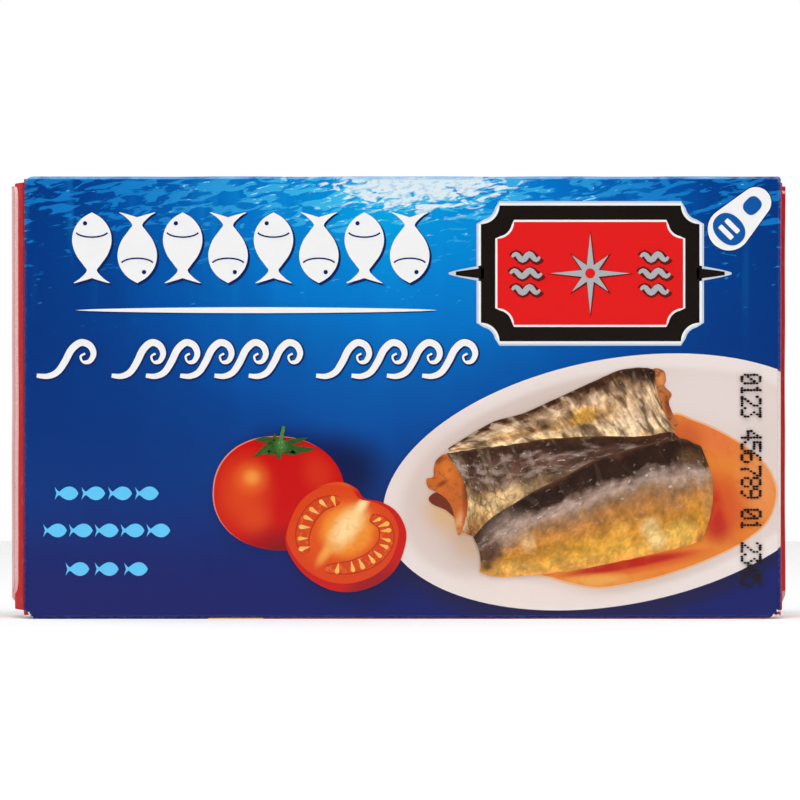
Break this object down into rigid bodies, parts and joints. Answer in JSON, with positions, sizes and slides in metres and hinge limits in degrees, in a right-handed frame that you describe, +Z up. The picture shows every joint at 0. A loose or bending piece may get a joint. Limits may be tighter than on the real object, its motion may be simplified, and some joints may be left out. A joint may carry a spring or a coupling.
{
  "type": "sardine carton",
  "caption": "Shut printed paperboard carton for a flat fish tin, standing on its long narrow side, with glued end flaps that bow outwards and worn corners.",
  "frame": {"origin": "centre of the underside of the whole carton, end flaps included", "axes": "+X along the carton's length, the front panel faces -Y, +Z up"},
  "size_m": [0.1092, 0.024, 0.062],
  "materials": {
    "printed_board": "white-lined paperboard printed in blues with red ends and sides, under a glossy varnish"
  },
  "bodies": {
    "root": {"carton": "printed_board"}
  },
  "joints": []
}
